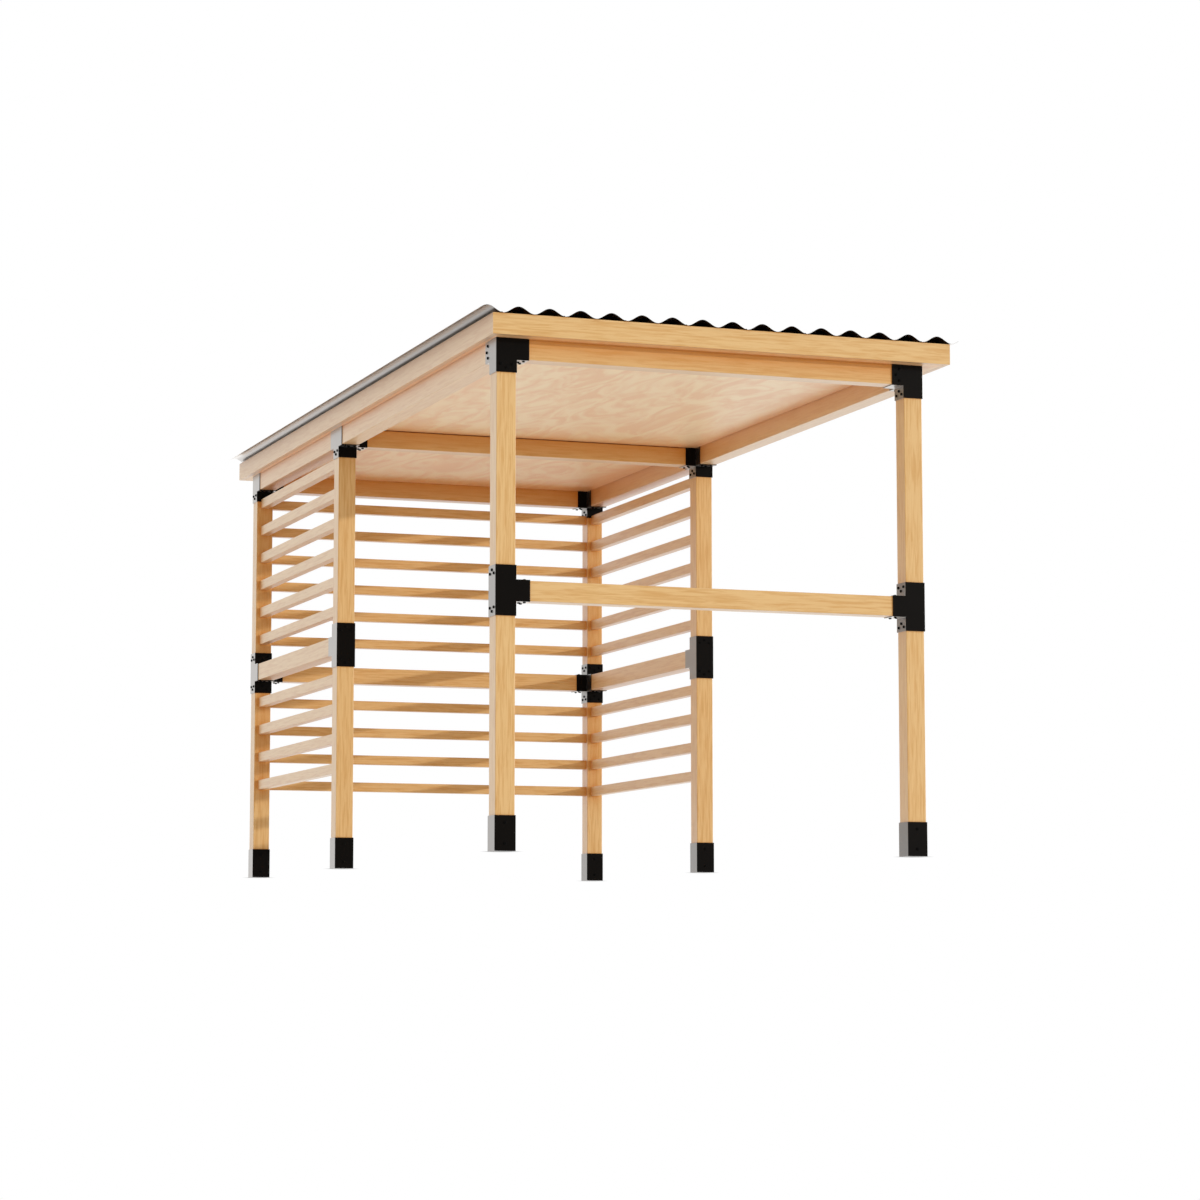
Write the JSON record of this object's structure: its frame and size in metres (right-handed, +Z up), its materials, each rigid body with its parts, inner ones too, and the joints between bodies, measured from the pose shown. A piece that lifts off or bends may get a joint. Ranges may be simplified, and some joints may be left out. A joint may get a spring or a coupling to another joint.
{
  "type": "timber carport with slatted rear bay",
  "caption": "Flat-roofed open timber carport with steel sleeve brackets, a slatted rear bay, middle rails and a corrugated sheet roof.",
  "frame": {"origin": "on the ground, under the middle of the roof sheet's outline", "axes": "+Z up, +Y from the front bay to the slatted rear bay, +X to the right seen from the front"},
  "size_m": [3.096, 6.216, 3.184],
  "materials": {
    "timber": "planed softwood posts, beams and rails with a clear honey stain",
    "slat_timber": "planed softwood slats with a clear honey stain",
    "roof_timber": "planed softwood fascia boards with a clear honey stain",
    "ceiling_ply": "smooth plywood boards with a swirling pale grain, clear stain",
    "bracket_steel": "black powder-coated steel",
    "sheet_steel": "black coated corrugated steel sheet"
  },
  "bodies": {
    "root": {"post_front_left": "timber", "post_front_right": "timber", "post_middle_left": "timber", "post_middle_right": "timber", "post_back_left": "timber", "post_back_right": "timber", "base_bracket_front_left": "bracket_steel", "base_bracket_front_right": "bracket_steel", "base_bracket_middle_left": "bracket_steel", "base_bracket_middle_right": "bracket_steel", "base_bracket_back_left": "bracket_steel", "base_bracket_back_right": "bracket_steel", "rail_bracket_front_left": "bracket_steel", "rail_bracket_front_right": "bracket_steel", "rail_bracket_middle_left": "bracket_steel", "rail_bracket_middle_right": "bracket_steel", "rail_bracket_back_left": "bracket_steel", "rail_bracket_back_right": "bracket_steel", "top_bracket_front_left": "bracket_steel", "top_bracket_front_right": "bracket_steel", "top_bracket_middle_left": "bracket_steel", "top_bracket_middle_right": "bracket_steel", "top_bracket_back_left": "bracket_steel", "top_bracket_back_right": "bracket_steel", "beam_front": "timber", "beam_middle": "timber", "beam_back": "timber", "beam_left_front": "timber", "beam_left_rear": "timber", "beam_right_front": "timber", "beam_right_rear": "timber", "rail_front": "timber", "rail_back": "timber", "rail_left": "timber", "rail_right": "timber", "slats_left": "slat_timber", "slats_right": "slat_timber", "slats_back": "slat_timber", "fascia_front": "roof_timber", "fascia_back": "roof_timber", "fascia_left": "roof_timber", "fascia_right": "roof_timber", "ceiling": "ceiling_ply", "roof_joists": "roof_timber", "roof_sheet": "sheet_steel"}
  },
  "joints": []
}
